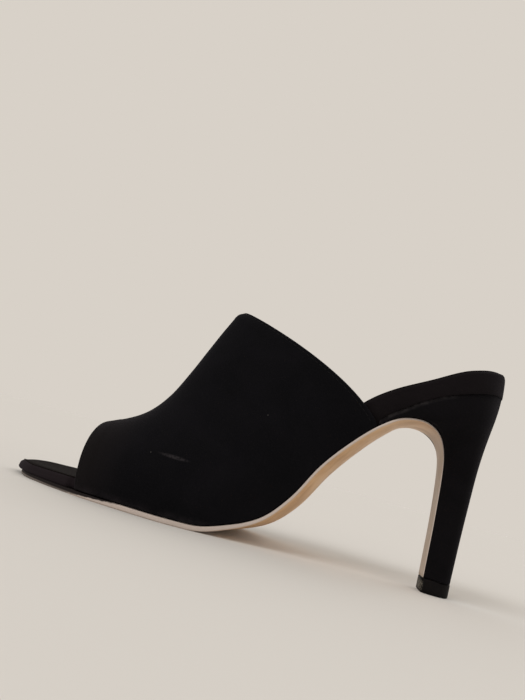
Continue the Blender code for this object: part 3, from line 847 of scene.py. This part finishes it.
def makeSock():
    inset, thick, edge = sockForm["inset"], sockForm["thick"], sockForm["edge"]
    whole = stations(bedLine, bedForm["spacing"], True)
    s = inset + whole / bedLine.length * (bedLine.length - sockForm["ends"] * inset)
    place, up = bedLine.frame(s)
    height = bedTop(s)
    low, high = bedSides(s, height - bedForm["edgeRound"])
    half, middle = (high - low) / 2, (high + low) / 2
    turn = bedTurn(s, half, height)
    dish = bedDish(half)
    cutLow, cutHigh = bedLine.sides(whole, seatEnd=True)
    reach = np.maximum(np.minimum(half, (cutHigh - cutLow) / 2) - inset, last["leastHalf"])
    over = np.clip((reach - (half - turn)) / turn, 0, sockForm["pastEdge"])
    drop = turn * (1 - np.sqrt(1 - over ** 2))
    y, lift = [], []
    for v in np.linspace(0, 1, sockForm["topRows"], endpoint=False):
        y.append(reach * v)
        lift.append(height - dish * (1 - v * v) + thick - drop * v ** sockForm["edgeDrop"])
    for a in np.linspace(0, math.pi / 2, sockForm["edgeRows"]):
        y.append(reach + edge * math.sin(a) - edge)
        lift.append(height - drop + thick - thick * (1 - math.cos(a)))
    sides, keel = [height - drop - deep for deep in sockForm["under"]]
    ring = [-c for c in y[::-1]] + y[1:] + [reach * 0.5, 0 * s, -reach * 0.5]
    lifts = lift[::-1] + lift[1:] + [sides, keel, sides]
    ring = np.stack(ring, axis=1) + middle[:, None]
    return skin("sockSheet", across(place, bedLean(s, up), ring, np.stack(lifts, axis=1)), sockSuede)


footbed = makeFootbed()
sock = makeSock()
for piece in (footbed, sock):
    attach(piece, "root")
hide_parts("insole")
print("footbed wrapped")

# Soft troughs and ridges of the vamp. along: share of the way from the open toe to
# the topline, around: share of the way over from the inner side's feather edge to the outer one,
# length and width: shares of the ball's width, turn: degrees from straight across,
# depth: share of the wall, below zero for a trough
vampFolds = table(
    "along around length width turn depth",
    (0.30, 0.30, 0.30, 0.085, 18, -0.16),
    (0.40, 0.27, 0.34, 0.090, 12, 0.12),
    (0.52, 0.22, 0.32, 0.080, 30, -0.18),
    (0.68, 0.30, 0.30, 0.120, 42, -0.14),
    (0.84, 0.24, 0.26, 0.100, 60, 0.14),
    (0.34, 0.70, 0.32, 0.085, -16, -0.18),
    (0.46, 0.73, 0.32, 0.090, -22, 0.12),
    (0.60, 0.76, 0.30, 0.085, -36, -0.20),
    (0.80, 0.70, 0.28, 0.120, -50, -0.14),
    (0.12, 0.50, 0.36, 0.120, 0, 0.10),
)


# One arch of the vamp, from the inner feather edge over the instep to the outer one
def vampArch(s, share):
    base, _ = soleLine.frame(np.array([s]), last["gap"])
    low, high = soleLine.sides(np.array([s]))
    axis = vampCrest(share) - base[0]
    back = np.array([axis[1], -axis[0]]) / np.linalg.norm(axis)
    full = vampForm["fullness"] * vampColumn("full", share)
    level = vampColumn("level", share)
    bow = vampForm["toplineBow"] * vampColumn("bow", share)
    power = vampColumn("power", share)
    crest = -vampForm["crestOffset"] * vampColumn("crest", share)
    halves = []
    for edge in (float(low[0]), float(high[0])):
        sign = math.copysign(1.0, edge)
        reach = edge + sign * full
        belly = np.linspace(0, level, vampForm["bellySteps"], endpoint=False)
        turn = np.linspace(0, math.pi / 2, vampForm["turnSteps"])
        t = np.concatenate((belly, level + (1 - level) * np.sin(turn) ** (2 / power)))
        y = np.concatenate((reach - sign * full * ((level - belly) / level) ** 2,
                            crest + (reach - crest) * np.clip(np.cos(turn), 0, 1) ** (2 / power)))
        offset = bow * np.sin(math.pi * np.clip(t, 0, 1) ** vampForm["bowLean"])
        halves.append(np.stack((base[0, 0] + axis[0] * t + back[0] * offset, y,
                                base[0, 1] + axis[1] * t + back[1] * offset), axis=1))
    return np.concatenate((halves[0], halves[1][::-1][1:]))


# Even places between two ends, with closer ones just inside each end for a rounded edge
def closeToEnds(length, count):
    near = np.array(vampForm["edgeMm"]) * millimetre
    middle = np.linspace(near[-1], length - near[-1], count - 2 * len(near) + 2)
    return np.concatenate((near[:-1], middle, (length - near[:-1])[::-1])) / length


def makeVamp():
    shares = closeToEnds(vampForm["sideLength"], vampForm["rows"])
    grid = []
    for share in shares:
        arc = vampArch(vampStart + share * (vampEnd - vampStart), share)
        walked = np.concatenate(([0.0], np.cumsum(np.linalg.norm(np.diff(arc, axis=0), axis=1))))
        wanted = closeToEnds(walked[-1], vampForm["columns"]) * walked[-1]
        grid.append(np.stack([np.interp(wanted, walked, arc[:, k]) for k in range(3)], axis=1))
    outer = np.array(grid)
    du = np.gradient(outer, axis=0)
    dv = np.gradient(outer, axis=1)
    normal = np.cross(du, dv)
    normal /= np.linalg.norm(normal, axis=2, keepdims=True)
    if normal[len(normal) // 2, normal.shape[1] // 2, 2] < 0:
        normal = -normal
    along = np.cumsum(np.linalg.norm(np.diff(outer, axis=0, prepend=outer[:1]), axis=2), axis=0)
    around = np.cumsum(np.linalg.norm(np.diff(outer, axis=1, prepend=outer[:, :1]), axis=2), axis=1)
    toMouth = np.minimum(along, along[-1:] - along)
    toFeather = np.minimum(around, around[:, -1:] - around)
    # Folds and creases move both faces, the folded hem and its stitch groove only the outer one
    shift = np.zeros(outer.shape[:2])
    wide = last["ballWidth"]
    for k in range(len(vampFolds["along"])):
        fold = {name: values[k] for name, values in vampFolds.items()}
        du = (shares[:, None] - fold["along"]) * along[-1:]
        dv = (np.linspace(0, 1, outer.shape[1])[None, :] - fold["around"]) * around[:, -1:]
        turn = math.radians(fold["turn"])
        lengthwise = dv * math.cos(turn) + du * math.sin(turn)
        sideways = du * math.cos(turn) - dv * math.sin(turn)
        shift += fold["depth"] * vampForm["wall"] * np.exp(
            -(lengthwise / (fold["length"] * wide)) ** 2 - (sideways / (fold["width"] * wide)) ** 2)
    shift *= np.clip(toFeather / vampForm["creaseClear"], 0, 1)
    pastFold = np.clip((toMouth - vampForm["edgeFold"]) / vampForm["foldEase"], 0, 1)
    hem = vampForm["foldHeight"] * (1 - pastFold)
    fromStitch = (toMouth - vampForm["stitchFrom"]) / vampForm["grooveHalf"]
    groove = vampForm["stitchGroove"] * np.exp(-fromStitch ** 2)
    half = vampForm["wall"] / 2
    fromEdge = np.clip(np.minimum(toMouth / half, toFeather / vampForm["featherRound"]), 0, 1)
    thick = half * np.sqrt(1 - (1 - fromEdge) ** 2)
    middle = outer + normal * (shift - half)[..., None]
    outside = middle + normal * (thick + (hem - groove) * fromEdge)[..., None]
    inside = middle - normal * thick[..., None]
    rows, count = outer.shape[:2]
    build = bmesh.new()
    layer = build.loops.layers.uv.new("surface")
    front = [[build.verts.new(p) for p in row] for row in outside]
    back = [[front[i][j] if i in (0, rows - 1) or j in (0, count - 1) else build.verts.new(inside[i, j])
             for j in range(count)] for i in range(rows)]
    for side, verts in enumerate((front, back)):
        for i in range(rows - 1):
            for j in range(count - 1):
                corners = [(i, j), (i, j + 1), (i + 1, j + 1), (i + 1, j)]
                if side == 1:
                    corners = corners[::-1]
                face = build.faces.new([verts[a][b] for a, b in corners])
                face.smooth = True
                lined = side == 1 and toMouth[i, j] > vampForm["linedFrom"]
                face.material_index = 1 if lined else 0
                for loop, (a, b) in zip(face.loops, corners):
                    loop[layer].uv = (along[a, b], around[a, b])
    bmesh.ops.recalc_face_normals(build, faces=build.faces)
    piece = meshObject("suedeVamp", build, vampSuede, liningKid)
    # Lines for the stitches, a little above the groove, from sole to sole
    lines = []
    for fromEnd in (False, True):
        reach = along[-1:] - along if fromEnd else along
        line = []
        for j in range(count):
            if toFeather[-1 if fromEnd else 0, j] < vampForm["stitchClear"]:
                continue
            order = np.argsort(reach[:, j])
            line.append([np.interp(vampForm["stitchFrom"], reach[order, j], outside[order, j, k])
                         for k in range(3)])
        lines.append(np.array(line))
    return piece, lines


vamp, stitchLines = makeVamp()
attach(vamp, "root")
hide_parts("upper")
print("vamp lasted")

# Stitches of the folded edges: thread 0.3 mm thick, about eight stitches to 20 mm
stitchRow = {"Stitch length": 0.0020, "Pitch": 0.0025, "Thread": 0.00028, "Unevenness": 0.06, "Seed": 7}
stitchMesh = {"Segments": 8, "Rings": 6, "Radius": 0.5}


def stitchTree():
    tree = bpy.data.node_groups.new("edgeStitches", "GeometryNodeTree")
    tree.interface.new_socket("Geometry", in_out="INPUT", socket_type="NodeSocketGeometry")
    for name, value in stitchRow.items():
        kind = "NodeSocketInt" if isinstance(value, int) else "NodeSocketFloat"
        tree.interface.new_socket(name, in_out="INPUT", socket_type=kind)
    tree.interface.new_socket("Thread material", in_out="INPUT", socket_type="NodeSocketMaterial")
    tree.interface.new_socket("Geometry", in_out="OUTPUT", socket_type="NodeSocketGeometry")
    given = addNode(tree, "NodeGroupInput").outputs
    dots = addNode(tree, "GeometryNodeCurveToPoints", {
        "Curve": given["Geometry"], "Length": given["Pitch"]}, mode="LENGTH").outputs
    loop = addNode(tree, "GeometryNodeMeshUVSphere", stitchMesh).outputs["Mesh"]
    low = addNode(tree, "ShaderNodeMath", {0: 1.0, 1: given["Unevenness"]}, operation="SUBTRACT").outputs[0]
    high = addNode(tree, "ShaderNodeMath", {0: 1.0, 1: given["Unevenness"]}, operation="ADD").outputs[0]
    uneven = addNode(tree, "FunctionNodeRandomValue", {
        2: low, 3: high, "Seed": given["Seed"]}, data_type="FLOAT").outputs[1]
    size = addNode(tree, "ShaderNodeCombineXYZ", {
        "X": given["Thread"], "Y": given["Thread"], "Z": given["Stitch length"]}).outputs[0]
    scaled = addNode(tree, "ShaderNodeVectorMath", {0: size, "Scale": uneven}, operation="SCALE").outputs[0]
    placed = addNode(tree, "GeometryNodeInstanceOnPoints", {
        "Points": dots["Points"], "Instance": loop, "Rotation": dots["Rotation"], "Scale": scaled})
    real = addNode(tree, "GeometryNodeRealizeInstances", {"Geometry": placed.outputs[0]})
    painted = addNode(tree, "GeometryNodeSetMaterial", {
        "Geometry": real.outputs[0], "Material": given["Thread material"]})
    addNode(tree, "NodeGroupOutput", {"Geometry": painted.outputs[0]})
    return tree


def sewStitches(name, lines):
    curve = bpy.data.curves.new(name + "Path", "CURVE")
    curve.dimensions = "3D"
    for line in lines:
        spline = curve.splines.new("POLY")
        spline.points.add(len(line) - 1)
        spline.points.foreach_set("co", np.column_stack((line, np.ones(len(line)))).ravel())
    path = linkObject(name + "Path", curve)
    tree = stitchTree()
    sewing = path.modifiers.new("sewing", "NODES")
    sewing.node_group = tree
    for item in tree.interface.items_tree:
        if item.in_out == "INPUT" and item.name in stitchRow:
            sewing[item.identifier] = stitchRow[item.name]
        if item.name == "Thread material":
            sewing[item.identifier] = seamThread
    bpy.context.view_layer.update()
    seen = path.evaluated_get(bpy.context.evaluated_depsgraph_get())
    mesh = bpy.data.meshes.new_from_object(seen)
    mesh.shade_smooth()
    bpy.data.objects.remove(path)
    return linkObject(name, mesh)


stitches = sewStitches("edgeStitches", stitchLines)
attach(stitches, "root")
print("edges stitched:", len(stitches.data.polygons), "faces")

# Heel: a plastic block covered in suede, its wings drawn up under the seat
heelForm = {
    "wingStart": 0.0700, "step": 0.0007, "widest": 0.58, "wingRows": 64, "shaftRows": 52, "around": 34,
    "seamGlintReach": 0.0005,
}
heelSections = table(
    "front run rise wide seat",
    (0.000, 0.97, 0.985, 4.28, 1.00),
    (0.120, 0.96, 0.967, 4.20, 0.95),
    (0.230, 0.91, 0.940, 3.90, 0.80),
    (0.300, 0.82, 0.898, 3.40, 0.55),
    (0.370, 0.68, 0.836, 2.75, 0.30),
    (0.460, 0.45, 0.716, 2.08, 0.10),
    (0.540, 0.28, 0.582, 1.70, 0.00),
    (0.630, 0.18, 0.425, 1.45, 0.00),
    (0.790, 0.08, 0.235, 1.19, 0.00),
    (1.000, 0.00, 0.000, 1.00, 0.00),
)


def heelColumn(name, share):
    return float(smoothCurve(heelSections["front"], heelSections[name], share))


# One ring of the heel, from its front round by the back
def heelRing(share, lifted=False):
    start = soleLine.atX(heelForm["wingStart"])
    s = start + (soleLine.length - start) * share
    place, _ = soleLine.frame(np.array([s]), last["gap"])
    front = place[0]
    foot, seatEnd = last["topPiece"] + last["gap"], float(bedLine.columns["z"][-1])
    if share == 1.0:
        front[1] = foot
    tipBack = last["tipFront"] + last["tipLength"]
    back = np.array([tipBack + heelColumn("run", share) * (last["seatReach"] - tipBack),
                     foot + heelColumn("rise", share) * (seatEnd - foot)])
    u = (1 - np.cos(np.linspace(0, math.pi, heelForm["around"] + 1))) / 2
    x = front[0] + (back[0] - front[0]) * u
    z = front[1] + (back[1] - front[1]) * u
    form = heelColumn("seat", share)
    seatFront = np.array([heelForm["wingStart"], bedLine.heightAtX(heelForm["wingStart"])])
    chord = (seatEnd - seatFront[1]) / (last["seatReach"] - seatFront[0])

    def seatBow(at):
        return bedLine.heightAtX(at) - (seatFront[1] + chord * (at - seatFront[0]))

    z = z + form * (seatBow(x) - (1 - u) * seatBow(front[0]) - u * seatBow(back[0]))
    if lifted:
        z = bedLine.heightAtX(x)
    low, high = soleLine.sides(np.array([s]))
    middle, frontHalf = float(high[0] + low[0]) / 2, float(high[0] - low[0]) / 2
    widest = last["tipWidth"] / 2 * heelColumn("wide", share)
    peak = heelForm["widest"]
    half = np.where(u < peak, frontHalf + (widest - frontHalf) * np.sin(math.pi / 2 * u / peak),
                    widest * np.sqrt(np.clip(1 - ((u - peak) / (1 - peak)) ** 2, 0, 1)))
    left, right = middle - half, middle + half
    at = np.interp(x + (last["seatReach"] - back[0]) * u, bedLine.columns["x"], bedLine.fine)
    seatLow, seatHigh = bedLine.sides(at, heelForm["step"] + bedForm["step"], seatEnd=True)
    left = left + form * (seatLow - left)
    right = right + form * (seatHigh - right)
    end = (left[-1] + right[-1]) / 2
    left[-1] = end
    ring = np.stack((x, left, z), axis=1)
    return np.concatenate((ring, np.stack((x, right, z), axis=1)[-2::-1]))


def makeHeel():
    wingsEnd = float(heelSections["front"][heelSections["seat"] == 0.0][0])
    shares = np.concatenate((np.linspace(0, wingsEnd, heelForm["wingRows"], endpoint=False),
                             np.linspace(wingsEnd, 1.0, heelForm["shaftRows"])))
    rings = np.array([heelRing(0.0, lifted=True)] + [heelRing(float(share)) for share in shares])
    piece = skin("coveredHeel", rings, heelSuede)
    below = bedLine.heightAtX(rings[:, :, 0]) - rings[:, :, 2]
    # seamEdge marks the rows along the seam that carry the painted glint
    storeFloat(piece, "seamEdge", np.clip(1 - below / heelForm["seamGlintReach"], 0, 1))
    return piece


heel = makeHeel()
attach(heel, "root")
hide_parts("heel")
print("heel covered")

# Top piece: moulded rubber, a little proud of the heel, square at the front and round behind
topPieceForm = {
    "proud": 0.0005, "proudSide": 0.00025, "square": 0.35, "frontWidth": 0.86,
    "bevel": 0.0007, "lip": 0.0002,
    "footRise": 0.00006, "turnSteps": 22, "sideSteps": 8,
}


def makeTopPiece():
    proud, proudSide = topPieceForm["proud"], topPieceForm["proudSide"]
    front = last["tipFront"] - proud
    length = last["tipLength"] + proud + proudSide
    half = last["tipWidth"] / 2 + proudSide
    turn = np.linspace(0, math.pi / 2, topPieceForm["turnSteps"])
    square = topPieceForm["square"]
    x = front + length * (square + (1 - square) * np.sin(turn))
    y = half * np.cos(turn)
    lead = np.linspace(0, 1, topPieceForm["sideSteps"], endpoint=False)
    leadX = front + length * square * lead
    frontWidth = topPieceForm["frontWidth"]
    leadY = half * (frontWidth + (1 - frontWidth) * np.sin(lead * math.pi / 2))
    x, y = np.concatenate((leadX, x)), np.concatenate((leadY, y))
    ring = np.stack((np.concatenate((x, x[-2::-1])), np.concatenate((-y, y[-2::-1]))), axis=1)
    centre = np.array([front + length * 0.5, 0.0])
    bevel, lip, tall = topPieceForm["bevel"], topPieceForm["lip"], last["topPiece"]
    # Inset and height of each ring: a worn foot and bevel, a straight side and a small lip under the heel
    profile = [(bevel * 1.6, 0.0), (bevel * 0.8, topPieceForm["footRise"])]
    profile += [(bevel * 0.3, bevel * 0.35), (0.0, bevel)]
    profile += [(0.0, tall * v) for v in (0.3, 0.5, 0.7)]
    profile += [(0.0, tall - 3 * lip), (lip * 0.2, tall - lip), (lip, tall - lip * 0.2), (lip * 2, tall)]
    rows = []
    for inset, z in profile:
        toward = centre - ring
        size = np.linalg.norm(toward, axis=1, keepdims=True)
        flat = ring + toward / size * inset
        rows.append(np.column_stack((flat, np.full(len(flat), z))))
    return skin("rubberTopPiece", np.array(rows), heelRubber)


topPiece = makeTopPiece()
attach(topPiece, "root")
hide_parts("top_piece")
print("top piece set")

# Studio: a pale painted floor that runs on into a sky of the same tone, and two soft suns
studio = {
    "floorReach": 40.0, "floorCorners": 96, "paint": "#DDDBD8", "paintShade": 0.985,
    "paintPatches": {"mm": 180.0}, "paintRoughness": 0.95, "paintSpecular": 0.1,
    "sky": "#D8D1C8", "skyStrength": 1.0,
    "suns": {
        "key": {"from": (-0.55, -0.60, 1.0), "strength": 0.75, "softness": 32},
        "rim": {"from": (0.7, 0.5, 0.8), "strength": 0.35, "softness": 40},
    },
}


def makeFloor():
    material, tree, coords = newMaterial("palePaintedBoard")
    paint = linearFromHex(studio["paint"])
    shade = tuple(c * studio["paintShade"] for c in paint[:3]) + (1.0,)
    patches = addGrains(tree, coords, {"patches": studio["paintPatches"]})["patches"]
    colour = addNode(tree, "ShaderNodeMix", {0: patches, 6: paint, 7: shade}, data_type="RGBA").outputs[2]
    dressShader(tree, {"Base Color": colour, "Roughness": studio["paintRoughness"],
                       "Specular IOR Level": studio["paintSpecular"]})
    build = bmesh.new()
    bmesh.ops.create_circle(build, cap_ends=True, segments=studio["floorCorners"],
                            radius=studio["floorReach"])
    meshObject("studioFloor", build, material)


def makeSun(name, look):
    data = bpy.data.lights.new(name + "Sun", "SUN")
    data.energy = look["strength"]
    data.angle = math.radians(look["softness"])
    sun = linkObject(name + "Sun", data)
    sun.location = look["from"]
    sun.rotation_euler = (-sun.location).to_track_quat("-Z", "Y").to_euler()


def makeSky():
    world = bpy.data.worlds.new("softSky")
    world.use_nodes = True
    background = world.node_tree.nodes["Background"]
    background.inputs["Color"].default_value = linearFromHex(studio["sky"])
    background.inputs["Strength"].default_value = studio["skyStrength"]
    bpy.context.scene.world = world
    bpy.context.scene.view_settings.view_transform = "Standard"


makeFloor()
for name, look in studio["suns"].items():
    makeSun(name, look)
makeSky()
print("studio lit")
